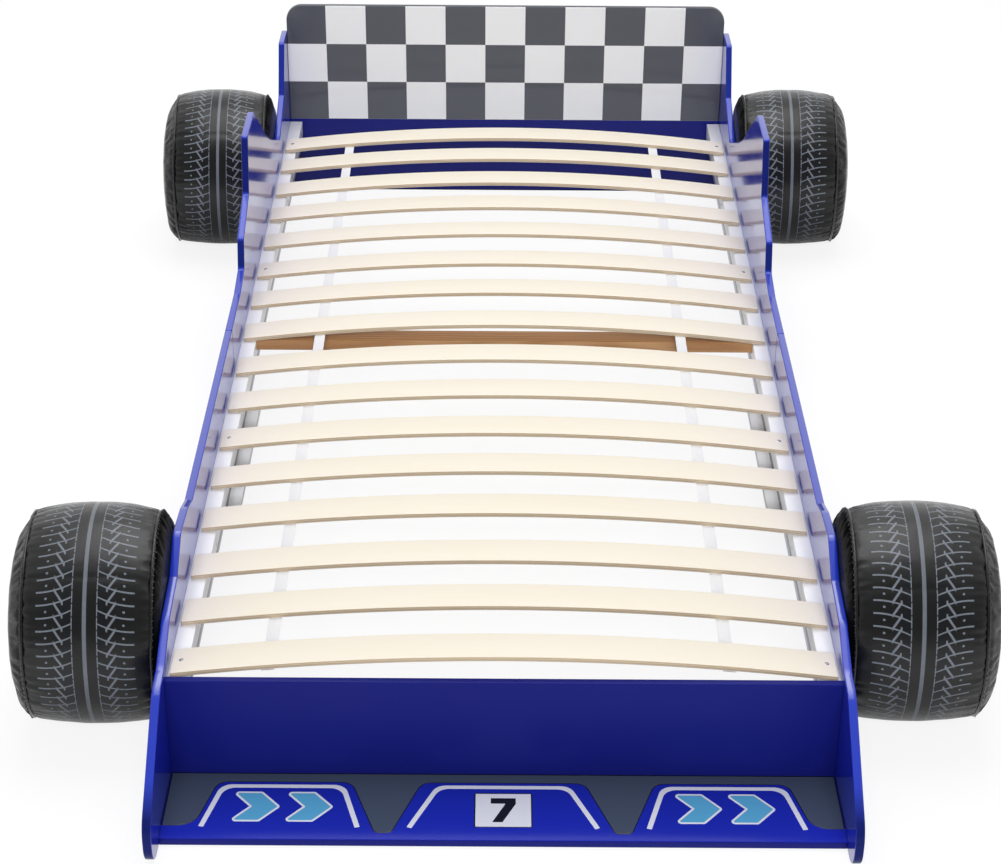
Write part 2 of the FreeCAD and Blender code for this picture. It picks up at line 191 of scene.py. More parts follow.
class Finish:
    """A node material with one principled shader, written in short calls."""

    SOCKETS = {
        "color": "Base Color", "rough": "Roughness", "metal": "Metallic", "ior": "IOR",
        "coat": "Coat Weight", "coat_rough": "Coat Roughness", "sheen": "Sheen Weight",
        "sheen_rough": "Sheen Roughness", "specular": "Specular IOR Level", "normal": "Normal",
    }

    def __init__(self, name, **shader):
        self.material = bpy.data.materials.new(name)
        self.material.use_nodes = True
        self.tree = self.material.node_tree
        self.tree.nodes.clear()
        self.output = self.node("ShaderNodeOutputMaterial")
        self.shader = self.node("ShaderNodeBsdfPrincipled")
        self.tree.links.new(self.shader.outputs[0], self.output.inputs[0])
        self.set(**shader)
        coordinates = self.node("ShaderNodeTexCoord").outputs
        self.place = coordinates["Object"]
        self.normal = coordinates["Normal"]
        self.x, self.y, self.z = self.node("ShaderNodeSeparateXYZ", self.place).outputs

    def node(self, kind, *inputs, **settings):
        return add_node(self.tree, kind, *inputs, **settings)

    def set(self, **values):
        for key, value in values.items():
            if isinstance(value, tuple):
                value = (*value, 1.0)
            fill(self.tree, self.shader.inputs[self.SOCKETS[key]], value)

    def painted(self, color, **values):
        self.set(color=color, **values)
        return self.material

    def noise(self, scale, detail=3.0, rough=0.55, axes=None):
        """Clouds, 0 to 1, in the object's coordinates, which axes scales one by one."""
        where = self.place
        if axes:
            where = output_of("ShaderNodeVectorMath", where, axes, operation="MULTIPLY")
        return output_of("ShaderNodeTexNoise", where, None, scale, detail, rough)

    def cells(self, scale):
        return output_of("ShaderNodeTexVoronoi", self.place, None, scale, feature="DISTANCE_TO_EDGE")

    def facing(self, axis):
        """How far the surface faces along an axis, -1 to 1."""
        return output_of("ShaderNodeSeparateXYZ", self.normal, index="XYZ".index(axis))

    def bump(self, height, strength, depth):
        self.set(normal=output_of("ShaderNodeBump", strength, depth, None, height))


def rgb(red, green, blue):
    """A colour as it is seen on a screen, 0 to 255, as the shader takes it."""
    shares = [value / 255 for value in (red, green, blue)]
    return tuple(s / 12.92 if s <= 0.04 else ((s + 0.055) / 1.055) ** 2.4 for s in shares)


BLUE = rgb(32, 46, 182)
# a darker copy of BLUE: painted shade on the boards that face the foot of the bed
BLUE_SHADED = rgb(24, 31, 124)
PRINT_GREY = rgb(82, 85, 94)
FIELD_GREY = rgb(74, 85, 103)
PRINT_WHITE = rgb(250, 251, 252)


def lacquer_surface(finish, color, gloss=0.5, rough=0.08):
    """Sprayed high-gloss lacquer: a little depth of colour, faint orange peel, small dulled patches."""
    cloud = finish.noise(3.0, 2.0)
    peel = finish.noise(420.0, 2.0)
    smear = finish.noise(14.0, 4.0, axes=(1.0, 0.35, 1.0))
    finish.set(rough=between(smear, rough, rough + 0.12), ior=1.5, specular=gloss)
    finish.bump(peel, 0.05, 0.0004)
    return mix(cloud, tuple(v * 0.86 for v in color), color)


# painted shade: the bulkhead's lacquer is the darker blue copy, and duller
def dull_shaded_lacquer():
    finish = Finish("BlueLacquerDullShaded")
    return finish.painted(lacquer_surface(finish, BLUE_SHADED, 0.14, 0.36))


def panel_lacquer():
    """Gloss faces along the bed, coated level edges, and painted shade: edges that stand steep, and the low
    edges at the front ends, are darker and less glossy.
    """
    finish = Finish("BlueLacquerPanel", coat_rough=0.04)
    color = lacquer_surface(finish, BLUE)
    face = above(absolute(finish.facing("X")), 0.75, 0.2)
    steep = other_than(above(finish.facing("Z"), 0.5, 0.5))
    forward = above(times(finish.y, -1.0), 1.06, 0.02)
    nose_foot = both(forward, inside(finish.z, 0.0, 0.09, 0.03))
    steep_shade = both(either(steep, nose_foot), other_than(face))
    color = mix(face, rgb(26, 54, 188), color)
    # painted shade: a darker blue, with less gloss, on steep edges and on the low front edges
    finish.set(color=mix(steep_shade, color, rgb(20, 31, 104)), specular=between(steep_shade, 0.5, 0.1))
    polished = both(face, above(finish.y, BULKHEAD_Y[0] * MM, 0.004))
    level = above(finish.facing("Z"), 0.95, 0.06)
    finish.set(coat=either(times(polished, 0.2), level))
    return finish.material


def nose_lacquer():
    """Flat blue under the print, and painted shade on the front edge: the band that faces forward is darker.
    """
    finish = Finish("BlueLacquerNose")
    color = lacquer_surface(finish, BLUE, 0.12, 0.1)
    # painted shade on the faces that look forward
    edge = above(times(finish.facing("Y"), -1.0), 0.7, 0.3)
    return finish.painted(mix(edge, color, rgb(22, 29, 122)))


def headboard_print():
    """Chequers on the front and its edges, blue below them and on the back."""
    finish = Finish("HeadboardPrint")
    across = plus(finish.x, CHEQUER * 5.5)
    down = minus(HEAD_TOP * MM, finish.z)
    column, row = (calc("FLOOR", calc("DIVIDE", way, CHEQUER)) for way in (across, down))
    odd = calc("MODULO", plus(plus(column, row), 40.0), 2.0)
    chequers = mix(odd, PRINT_GREY, PRINT_WHITE)
    speck = finish.noise(900.0, 1.0)
    chequers = mix(between(speck, 0.0, 0.05), chequers, PRINT_GREY)
    front = less(finish.facing("Y"), -0.5)
    rim = less(finish.facing("Y"), 0.5)
    upper = above(finish.z, CHEQUER_FOOT * MM, 0.0006)
    printed = both(upper, front)
    # painted shade: the darker blue copy below the print and on the back
    blue = lacquer_surface(finish, BLUE_SHADED)
    edged = mix(both(upper, rim), blue, PRINT_GREY)
    return finish.painted(mix(printed, edged, chequers), specular=between(printed, 0.16, 0.5))


def nearest(count):
    """How far a count is from its nearest whole number, -0.5 to 0.5."""
    return minus(calc("FRACT", plus(count, 0.5)), 0.5)


def tread_marks(count, across):
    """Masks of the print and of the bare blocks between its bars; share runs out along a bar."""
    share = calc("DIVIDE", minus(across, BAND_HALF), BAR_LENGTH)
    rest = other_than(share)
    bars = minus(count, times(times(rest, rest), 0.68))
    to_bar = nearest(bars)
    away = absolute(to_bar)
    bar = less(away, between(share, 0.055, 0.07))
    bar = both(bar, inside(share, 0.5, 0.5, 0.02))
    slope = calc("MULTIPLY_ADD", share, 4.07, -0.657 - 4.07 * 0.29)
    slant = less(absolute(nearest(minus(count, slope))), 0.15)
    slant = both(slant, inside(share, 0.385, 0.12, 0.02))
    tick = both(inside(share, 0.262, 0.022, 0.01), inside(to_bar, -0.16, 0.16, 0.04))
    dot_along = times(minus(share, 0.72), 2.7)
    dot_round = minus(calc("FRACT", bars), 0.47)
    dot = less(radius_of(dot_along, dot_round), 0.095)
    gap = inside(calc("FRACT", count), 0.18, 0.05, 0.02)
    line = both(inside(across, BAND_HALF, 0.0007, 0.0003), other_than(gap))
    middle = times(inside(across, 0.0, 0.0028, 0.0004), 0.85)
    blocks = both(inside(share, 0.14, 0.12, 0.03), less(0.16, away))
    return either(bar, slant, tick, dot, line, middle), blocks


def leatherette(name, phase, pressed):
    """Black imitation leather with the tread printed in grey. X is out from the panel, the wheel's axis."""
    finish = Finish(name)
    turn = calc("ARCTAN2", finish.z, times(finish.y, -1.0))
    lean = calc("COSINE", minus(turn, radians(pressed)))
    out = plus(finish.x, calc("MULTIPLY_ADD", lean, LEAN * MM, -LEAN * MM))
    # on the front of a wheel the bars climb down towards the band, so the count runs downwards
    count = calc("MULTIPLY_ADD", turn, -TREAD_BARS / (2 * pi), phase)
    marks, blocks = tread_marks(count, absolute(minus(out, TREAD_MID * MM)))
    on_tread = above(radius_of(finish.y, finish.z), (SEAM_R + 0.5) * MM, 0.001)
    wear = between(finish.noise(160.0, 3.0), 0.72, 1.0)
    printed = both(marks, on_tread, wear)
    # painted shade: the grooves along the seams, the heel between the cover and the panel, and the underside
    # are the darkest
    low = above(times(finish.z, -1.0), 0.06, 0.13)
    inner_seam_shade = inside(out, SEAM_IN * MM, 0.004, 0.005)
    outer_seam_shade = inside(out, SEAM_OUT * MM, 0.003, 0.005)
    seam_shade = times(either(inner_seam_shade, outer_seam_shade), 0.8)
    heel = less(out, SEAM_IN * MM)
    crease = finish.noise(26.0, 4.0, 0.6)
    hide = mix(crease, rgb(9, 9, 10), rgb(19, 20, 22))
    hide = mix(times(both(blocks, on_tread), 0.8), hide, rgb(11, 13, 20))
    hide = mix(either(seam_shade, heel, times(low, 0.6)), hide, rgb(5, 5, 6))
    # painted shade: the print darkens towards the underside too
    ink = mix(low, rgb(122, 129, 139), rgb(66, 70, 76))
    finish.set(color=mix(printed, hide, ink), specular=0.42, ior=1.48)
    side = times(above(out, (SEAM_OUT + 4) * MM, 0.004), 0.6)
    finish.set(ior=between(either(low, heel, side), 1.48, 1.06))
    finish.set(rough=between(crease, 0.14, 0.27), sheen=0.01, sheen_rough=0.5)
    grain = calc("MINIMUM", finish.cells(620.0), 0.12)
    pores = finish.noise(1500.0, 2.0)
    finish.bump(plus(times(grain, 6.0), times(pores, 0.3)), 0.22, 0.0004)
    return finish.material


def birch():
    """Peeled birch plywood: pale lengthwise grain on top, thin dark glue lines on the edges."""
    finish = Finish("BirchPly", ior=1.45)
    fibre = finish.noise(9.0, 5.0, 0.6, axes=(1.6, 42.0, 42.0))
    flame = finish.noise(4.0, 3.0, axes=(0.8, 6.0, 6.0))
    patch = finish.noise(1.0, 1.0, axes=(0.0, 7.3, 0.0))
    radius = radius_of(finish.x, minus(finish.z, ARC_Z * MM))
    depth = calc("DIVIDE", minus(ARC_R * MM, radius), VENEER)
    seam = inside(calc("FRACT", depth), 0.5, 0.09, 0.1)
    layer = calc("MODULO", calc("FLOOR", plus(depth, 0.5)), 2.0)
    edge = less(absolute(finish.facing("Z")), 0.6)
    face = mix(between(fibre, 0.1, 0.9), rgb(248, 238, 219), rgb(253, 248, 236))
    face = mix(between(flame, 0.0, 0.35), face, rgb(243, 226, 199))
    face = mix(between(patch, 0.0, 0.3), face, rgb(251, 243, 228))
    core = mix(layer, rgb(226, 210, 184), rgb(208, 186, 154))
    core = mix(times(seam, 0.4), core, rgb(150, 122, 90))
    finish.bump(fibre, 0.16, 0.0006)
    return finish.painted(mix(edge, face, core), rough=between(fibre, 0.38, 0.55))


def brown_wood():
    finish = Finish("BrownWood", ior=1.45)
    warp = finish.noise(3.0, 2.0, axes=(1.0, 6.0, 6.0))
    rings = calc("SINE", plus(times(finish.y, 900.0), times(warp, 26.0)))
    fibre = finish.noise(8.0, 4.0, axes=(2.0, 60.0, 60.0))
    grain = calc("MULTIPLY_ADD", rings, 0.25, between(fibre, 0.1, 0.7))
    color = mix(grain, rgb(178, 128, 84), rgb(222, 178, 128))
    finish.bump(fibre, 0.25, 0.0008)
    return finish.painted(color, rough=between(fibre, 0.42, 0.6))


def melamine(name, light, shade, rough, foot=0.0, cut=None):
    """Melamine-faced board: pearled, clouded in colour, with painted shade on its foot and on its ends square
    to Y.
    """
    finish = Finish(name, ior=1.5)
    cloud = finish.noise(7.0, 3.0)
    scuff = finish.noise(30.0, 3.0, axes=(0.4, 9.0, 9.0))
    color = mix(cloud, shade, light)
    # painted shade on the board's foot, below the given height
    color = mix(less(finish.z, foot * MM), color, rgb(116, 117, 122))
    # painted shade on the ends square to Y
    if cut:
        color = mix(less(0.7, absolute(finish.facing("Y"))), color, cut)
    finish.bump(finish.cells(700.0), 0.12, 0.0002)
    return finish.painted(color, rough=between(scuff, rough - 0.06, rough + 0.06))


def webbing():
    """Narrow white woven ribbon: the threads run along it and across it."""
    finish = Finish("WhiteWebbing", sheen=0.3, sheen_rough=0.4, ior=1.4)
    warp = calc("SINE", times(finish.x, 2 * pi / 0.0011))
    weft = calc("SINE", times(finish.y, 2 * pi / 0.0016))
    thread = calc("MULTIPLY_ADD", times(warp, weft), 0.5, 0.5)
    tint = finish.noise(60.0, 2.0)
    cloth = mix(thread, rgb(240, 240, 242), rgb(254, 254, 255))
    finish.bump(thread, 0.5, 0.0004)
    return finish.painted(mix(between(tint, 0.0, 0.25), cloth, rgb(243, 243, 246)), rough=0.78)


def metal(name, light, dark, rough):
    """Bright zinc with fine drawn marks."""
    finish = Finish(name, metal=1.0)
    drawn = finish.noise(260.0, 3.0, axes=(1.0, 1.0, 5.0))
    stain = finish.noise(40.0, 3.0)
    finish.bump(drawn, 0.15, 0.0002)
    worn = between(drawn, rough - 0.08, rough + 0.1)
    return finish.painted(mix(stain, dark, light), rough=worn)


def print_film(name, color, rough=0.16):
    """Printed and lacquered colour on the nose: a fine ink grain under the same gloss."""
    finish = Finish(name, ior=1.5)
    ink = finish.noise(1100.0, 2.0)
    cloud = finish.noise(6.0, 2.0)
    grain = mix(between(ink, 0.3, 0.7), tuple(v * 0.88 for v in color), color)
    finish.bump(ink, 0.03, 0.0002)
    return finish.painted(grain, rough=between(cloud, rough - 0.05, rough + 0.05))


def plywood():
    finish = Finish("DiscPlywood")
    grain = finish.noise(6.0, 4.0, axes=(40.0, 3.0, 40.0))
    color = mix(grain, rgb(196, 164, 122), rgb(226, 200, 160))
    return finish.painted(color, rough=between(grain, 0.55, 0.7))


# ---- mesh makers
def add_object(name, data):
    thing = bpy.data.objects.new(name, data)
    bpy.context.scene.collection.objects.link(thing)
    return thing


def to_mesh(name, bm):
    mesh = bpy.data.meshes.new(name)
    bm.to_mesh(mesh)
    bm.free()
    return mesh


def link(name, bm, look, replaces=None, smooth=True):
    """Turn a bmesh into a piece of the bed; its look is a material and the name of its slot, and that name is
    not used.
    """
    bmesh.ops.recalc_face_normals(bm, faces=bm.faces)
    for face in bm.faces:
        face.smooth = smooth
    mesh = to_mesh(name, bm)
    material, slot = look
    mesh.materials.append(material)
    piece = add_object(name, mesh)
    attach(piece, "root")
    if replaces:
        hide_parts(replaces)
    return piece


def rounded_loop(corners, step=9.0):
    """A closed line through corners (u, v, radius), with an arc at each."""
    points = []
    for index, (u, v, radius) in enumerate(corners):
        corner = Vector((u, v))
        back = (Vector(corners[index - 1][:2]) - corner).normalized()
        ahead = (Vector(corners[(index + 1) % len(corners)][:2]) - corner).normalized()
        half = acos(max(-1.0, min(1.0, back.dot(ahead)))) / 2
        reach = radius / tan(half)
        centre = corner + (back + ahead).normalized() * (radius / sin(half))
        start, end = corner + back * reach - centre, corner + ahead * reach - centre
        sweep = atan2(start.x * end.y - start.y * end.x, start.dot(end))
        cuts = max(2, ceil(abs(degrees(sweep)) / step))
        for cut in range(cuts + 1):
            turned = start.copy()
            turned.rotate(Matrix.Rotation(sweep * cut / cuts, 2))
            points.append(centre + turned)
    kept = [p for i, p in enumerate(points) if (p - points[i - 1]).length > 0.02]
    area = sum(a.x * b.y - b.x * a.y for a, b in zip(kept, kept[1:] + kept[:1]))
    return kept if area > 0 else kept[::-1]


def rectangle(u0, u1, v0, v1, radius=0.8):
    return rounded_loop([(u0, v0, radius), (u1, v0, radius), (u1, v1, radius), (u0, v1, radius)], 22.5)


def inset(loop, distance):
    """The line moved inwards by a distance."""
    if distance == 0:
        return loop
    moved = []
    for index, point in enumerate(loop):
        into = (point - loop[index - 1]).normalized()
        away = (loop[(index + 1) % len(loop)] - point).normalized()
        normal = Vector((-(into.y + away.y), into.x + away.x)).normalized()
        spread = max(0.35, normal.dot(Vector((-into.y, into.x))))
        moved.append(point + normal * (distance / spread))
    return moved


def skin(bm, rings):
    """Quads between rings with the same number of vertices."""
    for near, far in zip(rings, rings[1:]):
        for index in range(len(near)):
            bm.faces.new((near[index - 1], near[index], far[index], far[index - 1]))


def close_ends(bm, rings):
    bm.faces.new(rings[0][::-1])
    bm.faces.new(rings[-1])


def slab(bm, loop, length, edge, place, cuts=1, steps=4):
    """A solid with this outline and length, its rims rounded; place turns (u, v, along) into a point."""
    rim = [(edge + 0.5, 0.0)]
    for step in range(steps + 1):
        angle = pi / 2 * step / steps
        rim.append((edge * (1 - sin(angle)), edge * (1 - cos(angle))))
    levels = rim + [(0.0, edge + (length - 2 * edge) * cut / cuts) for cut in range(1, cuts)]
    levels += [(shrink, length - depth) for shrink, depth in reversed(rim)]
    rings = []
    for shrink, along in levels:
        rings.append([bm.verts.new(place(p.x, p.y, along) * MM) for p in inset(loop, shrink)])
    skin(bm, rings)
    close_ends(bm, rings)


def board(name, loop, length, edge, place, look, replaces, cuts=1):
    bm = bmesh.new()
    slab(bm, loop, length, edge, place, cuts)
    return link(name, bm, look, replaces)


# four ways to lay an outline and its length on the bed, as slab takes them
def across_bed(start):
    return lambda u, v, along: Vector((start + along, u, v))


def along_bed(sign, start):
    return lambda u, v, along: Vector((sign * u, start + along, v))


def outwards(sign, start):
    return lambda u, v, along: Vector((sign * (start + along), u, v))


def upwards(start):
    return lambda u, v, along: Vector((u, v, start + along))


def tube(bm, points, radius, sides=8, closed=True):
    """A round cord along points."""
    rings = []
    count = len(points)
    for index, point in enumerate(points):
        before = points[index - 1] if closed or index else point
        after = points[(index + 1) % count] if closed or index < count - 1 else point
        along = (after - before).normalized()
        side = along.cross(Vector((1, 0, 0))).normalized()
        up = along.cross(side).normalized()
        ring = []
        for step in range(sides):
            angle = 2 * pi * step / sides
            ring.append(bm.verts.new(point + (side * cos(angle) + up * sin(angle)) * radius))
        rings.append(ring)
    skin(bm, rings + rings[:1] if closed else rings)
    if not closed:
        close_ends(bm, rings)


def head(bm, centre, normal, radius, dome, recess, arms=4, arm=0.22, reach=0.62):
    """A round fitting's head with a cross or a socket sunk in it; its rim lies on the surface."""
    normal = Vector(normal).normalized()
    side = normal.orthogonal().normalized()
    up = normal.cross(side)
    centre = Vector(centre)

    def spot(offset, lift):
        return bm.verts.new((centre + offset + normal * lift) * MM)

    def ring(factor, lift, sides=24):
        angles = [2 * pi * step / sides for step in range(sides)]
        return [spot((side * cos(a) + up * sin(a)) * radius * factor, lift) for a in angles]

    def star(lift):
        corners = []
        for step in range(arms):
            base = 2 * pi * step / arms
            inner = base + pi / arms
            tip = Vector((cos(base), sin(base)))
            out = Vector((-sin(base), cos(base)))
            corners += [tip * reach - out * arm / 2, tip * reach + out * arm / 2]
            corners.append(Vector((cos(inner), sin(inner))) * arm * 0.75)
        return [spot((side * c.x + up * c.y) * radius, lift) for c in corners]

    rings = [ring(1.0, 0.0), ring(0.97, dome * 0.45), ring(0.88, dome * 0.8), ring(0.76, dome)]
    skin(bm, rings)
    rim, floor = star(dome), star(dome - recess)
    skin(bm, [rim, floor])
    bm.faces.new(floor)
    edges = []
    for loop in (rings[-1], rim):
        for index, vertex in enumerate(loop):
            ends = (loop[index - 1], vertex)
            edges.append(bm.edges.get(ends) or bm.edges.new(ends))
    bmesh.ops.triangle_fill(bm, edges=edges, use_beauty=True, use_dissolve=False)


def heads(name, places, normal, radius, dome, recess, look, replaces=None, **kind):
    """Equal heads in one piece; normal is their direction, or a function of their place."""
    bm = bmesh.new()
    for place in places:
        head(bm, place, normal(place) if callable(normal) else normal, radius, dome, recess, **kind)
    link(name, bm, look, replaces, smooth=False)


# ---- panels and boards
OUTLINE = (
    (FRONT_END, 0, 35), (FRONT_END, 68, 42), (-954, 177, 60), (-910, 180, 40), (-838, 213, 60),
    (-753, 222, 4), (-694, 259, 24), (-618, 252, 60), (-573, FLAT_TOP, 6), (104, FLAT_TOP, 20),
    (176, 250, 9), (192, 301, 10), (300, 339, 9), (327, 438, 7), (442, 438, 7),
    (656, 296.5, 600), (863, 210, 25), (983, 258, 10), (1033, 355, 9),
    (REAR_END, 355, 5), (REAR_END, 0, 35),
)
JOINT_GAP = 0.2  # from the splice to the end of either half


def panel_outline(half):
    """The outline of one half of a side panel, parted at the splice."""
    if half == "front":
        corners = [c for c in OUTLINE if c[0] < SPLICE_Y]
        return corners + [(SPLICE_Y - JOINT_GAP, FLAT_TOP, 2.0), (SPLICE_Y - JOINT_GAP, 0, 1.0)]
    corners = [c for c in OUTLINE if c[0] > SPLICE_Y]
    return [(SPLICE_Y + JOINT_GAP, 0, 1.0), (SPLICE_Y + JOINT_GAP, FLAT_TOP, 2.0)] + corners


def build_panels(look):
    for half in ("front", "rear"):
        loop = rounded_loop(panel_outline(half), 6.0)
        for side, sign in SIDES:
            name = f"panel_{half}_{side}"
            board(name, loop, BOARD, 1.8, outwards(sign, PANEL_IN), look, f"side_{name}")


def build_boards(blue, shaded_blue, printed):
    corners = [(-SPAN, 0, 1), (SPAN, 0, 1), (SPAN, HEAD_TOP, HEAD_CORNER), (-SPAN, HEAD_TOP, HEAD_CORNER)]
    loop = rounded_loop(corners, 6.0)
    board("headboard_panel", loop, BOARD, 1.6, along_bed(1, HEAD_Y[0]), printed, "headboard")
    loop = rectangle(*BULKHEAD_Y, BOARD, BULKHEAD_TOP, 1.8)
    board("bulkhead_panel", loop, 2 * SPAN, 0.4, across_bed(-SPAN), shaded_blue, "front_bulkhead")
    loop = rectangle(NOSE_FRONT, BULKHEAD_Y[1], 0, BOARD, 2.2)
    board("nose_panel", loop, 2 * SPAN, 0.4, across_bed(-SPAN), blue, "nose_board")


def build_rails(white, grey, brown):
    rail = rectangle(RAIL_IN, PANEL_IN - 0.05, RAIL_LOW, RAIL_TOP, 0.4)
    rail_length = RAIL_ENDS[1] - RAIL_ENDS[0]
    batten = rectangle(BATTEN_IN, PLATE_IN, RAIL_LOW - 12, RAIL_LOW, 1.0)
    plate = rectangle(SPLICE_Y - PLATE_REACH, SPLICE_Y + PLATE_REACH, RAIL_LOW - PLATE_HEIGHT, RAIL_LOW, 4.0)
    for side, sign in SIDES:
        place = along_bed(sign, RAIL_ENDS[0])
        board(f"rail_{side}", rail, rail_length, 0.8, place, white, f"slat_rail_{side}")
        place = along_bed(sign, BATTEN_FRONT)
        board(f"batten_{side}", batten, BATTEN_LENGTH, 0.8, place, grey, f"rail_batten_{side}")
        place = outwards(sign, PLATE_IN)
        board(f"splice_{side}", plate, PLATE_THICK, 0.8, place, grey, f"splice_plate_{side}")
    beam = rectangle(*BEAM_Y, RAIL_TOP - BEAM_HEIGHT, RAIL_TOP, 1.6)
    board("beam", beam, 2 * RAIL_IN, 0.8, across_bed(-RAIL_IN), brown, "cross_beam")


# ---- slats and straps
def slat_fronts():
    fronts = [FIRST_SLAT]
    for step in SLAT_STEPS:
        fronts.append(fronts[-1] + step)
    return fronts


def on_arc(radius, x):
    """Height of the slats' curve at x."""
    return ARC_Z + sqrt(radius ** 2 - x ** 2)


def off_arc(spot):
    """The way that a slat's top faces at a spot."""
    return (spot[0] / ARC_R, 0, 1)


def build_slats(look):
    """Each slat is bowed, its long edges rounded over, and it wanders a hair from its neighbours."""
    section = rectangle(0, SLAT_WIDTH, -SLAT_THICK, 0, 1.9)
    fronts = slat_fronts()
    for index, front in enumerate(fronts):
        number = len(fronts) - index
        wander = noise.noise(Vector((number * 3.7, 0.4, 1.1)))

        def place(u, v, along):
            angle = ARC_END * (along / HALF - 1)
            radius = ARC_R + v
            drift = 0.8 * wander * sin(angle / ARC_END * 2.1)
            return Vector((radius * sin(angle), front + u + drift, ARC_Z + radius * cos(angle)))

        node = f"slat_{number:02d}"
        board(f"{node}_bow", section, SLAT_LENGTH, 1.0, place, look, node, cuts=28)


def sag(fronts, y):
    """How far a strap hangs below the slats at y."""
    passed = [front for front in fronts if front <= y + 0.001]
    start = (passed[-1] if passed else fronts[0]) + SLAT_WIDTH
    later = [front for front in fronts if front > y]
    if y <= start or not later:
        return 0.0
    return STRAP_SAG * sin(pi * (y - start) / (later[0] - start))


def build_straps(ribbon, steel):
    """Two ribbons stapled under every slat; between slats they sag by a hair."""
    fronts = slat_fronts()
    length = fronts[-1] + SLAT_WIDTH - fronts[0]
    underside = ARC_R - SLAT_THICK
    section = rectangle(-9, 9, -0.9, 0, 0.35)
    staples = bmesh.new()
    for side, centre in STRAPS.items():
        def place(u, v, along):
            x, y = centre + u, fronts[0] + along
            return Vector((x, y, on_arc(underside, x) + v - 0.05 - sag(fronts, y)))

        strap = board(f"strap_{side}", section, length, 0.3, place, ribbon, f"slat_strap_{side}", cuts=240)
        for front in fronts:
            for offset in STAPLES:
                y = front + offset
                across = (centre - 5, centre, centre + 5)
                staple(staples, [Vector((x, y, on_arc(underside, x) - 1.15)) * MM for x in across])
    link("strap_staples", staples, steel, smooth=False)


def staple(bm, crown):
    """A wire bracket of square section, square to Y, with a leg up at both ends of its crown."""
    leg, thick = Vector((0, 0, 0.0016)), 0.0004
    across = Vector((0, 1, 0))
    points = [crown[0] + leg] + crown + [crown[-1] + leg]
    rings = []
    for index, point in enumerate(points):
        along = (points[min(index + 1, len(points) - 1)] - points[max(index - 1, 0)]).normalized()
        up = along.cross(across)
        corners = ((-1, -1), (1, -1), (1, 1), (-1, 1))
        rings.append([bm.verts.new(point + across * a * thick + up * b * thick) for a, b in corners])
    skin(bm, rings)
    close_ends(bm, rings)


# ---- wheels
CLOTH = {
    "vertex_group_mass": "held", "quality": 6, "mass": 0.3, "tension_stiffness": 12.0,
    "compression_stiffness": 12.0, "shear_stiffness": 4.0, "bending_stiffness": 0.12,
    "shrink_min": -0.012, "use_pressure": True, "uniform_pressure_force": 4.0,
}
CLOTH_FRAMES = 24
CLOTH_CAP = 0.0026  # the furthest that a point of the cover moves, in metres
TUCK_REACH, TUCK_DEPTH = (16.0, 30.0), (0.0014, 0.0012)  # at the inner and the outer seam


def wheel_profile():
    """(out, up, part) from the middle of the back to the middle of the outer face."""
    points = [(BACK_GAP, BACK_FLAT * step / 4, "back") for step in range(1, 5)]
    for step in range(1, 6):
        angle = pi / 2 * step / 6
        out = BACK_GAP + (SEAM_IN - BACK_GAP) * (1 - cos(angle))
        points.append((out, BACK_FLAT + (SEAM_R - BACK_FLAT) * sin(angle), "heel"))
    runs = 34
    for step in range(runs + 1):
        wave = cos(pi * step / runs)
        share = 0.5 - 0.5 * wave * (0.86 + 0.14 * abs(wave))
        lift = (WHEEL_R - SEAM_R) * (1 - abs(2 * share - 1) ** 2.5)
        points.append((SEAM_IN + (SEAM_OUT - SEAM_IN) * share, SEAM_R + lift, "tread"))
    runs = 18
    for step in range(1, runs):
        angle = pi / 2 * step / runs
        out = SEAM_OUT + (WHEEL_W - 1 - SEAM_OUT) * sin(angle) ** 0.92
        points.append((out, SEAM_R * cos(angle), "face"))
    return points


def gather(angle, phase, seed):
    """Uneven tucks round a seam, -1 on a tuck's floor to 1 on its crest."""
    spot = Vector((cos(angle) * 8.0 + seed, sin(angle) * 8.0, phase))
    wave = 0.8 * noise.noise(spot) + noise.noise(spot * 2.7) + 0.5 * noise.noise(spot * 4.6)
    return max(-1.0, min(1.0, wave * 1.5))


def settle(piece, held):
    """Blows the cover up with Blender's cloth; the vertices in held stay where they are."""
    scene = bpy.context.scene
    group = piece.vertex_groups.new(name="held")
    group.add(held, 1.0, "REPLACE")
    cloth = piece.modifiers.new("Cover", "CLOTH")
    for key, value in CLOTH.items():
        setattr(cloth.settings, key, value)
    cloth.settings.effector_weights.gravity = 0.0
    cloth.collision_settings.use_collision = False
    cloth.collision_settings.use_self_collision = False
    cloth.point_cache.frame_start = 1
    cloth.point_cache.frame_end = CLOTH_FRAMES
    for frame_number in range(1, CLOTH_FRAMES + 1):
        scene.frame_set(frame_number)
    shaped = piece.evaluated_get(bpy.context.evaluated_depsgraph_get())
    moved = [v.co.copy() for v in shaped.data.vertices]
    piece.modifiers.remove(cloth)
    piece.vertex_groups.remove(group)
    scene.frame_set(1)
    for vertex, target in zip(piece.data.vertices, moved):
        step = target - vertex.co
        if step.length > CLOTH_CAP:
            step = step.normalized() * CLOTH_CAP
        vertex.co = vertex.co + step


def plain_cover(profile):
    """The profile turned about the wheel's axis, from the middle of the back to that of the outer face."""
    angles = [2 * pi * spoke / SPOKES for spoke in range(SPOKES)]
    bm = bmesh.new()
    rings = []
    for out, up, _ in profile:
        rim = [Vector((out, -up * cos(a), up * sin(a))) for a in angles]
        rings.append([bm.verts.new(point * MM) for point in rim])
    hub = bm.verts.new((BACK_GAP * MM, 0, 0))
    cap = bm.verts.new(((WHEEL_W - 1) * MM, 0, 0))
    skin(bm, rings)
    for spoke in range(SPOKES):
        bm.faces.new((hub, rings[0][spoke], rings[0][spoke - 1]))
        bm.faces.new((cap, rings[-1][spoke - 1], rings[-1][spoke]))
    bmesh.ops.recalc_face_normals(bm, faces=bm.faces)
    return to_mesh("cover", bm)


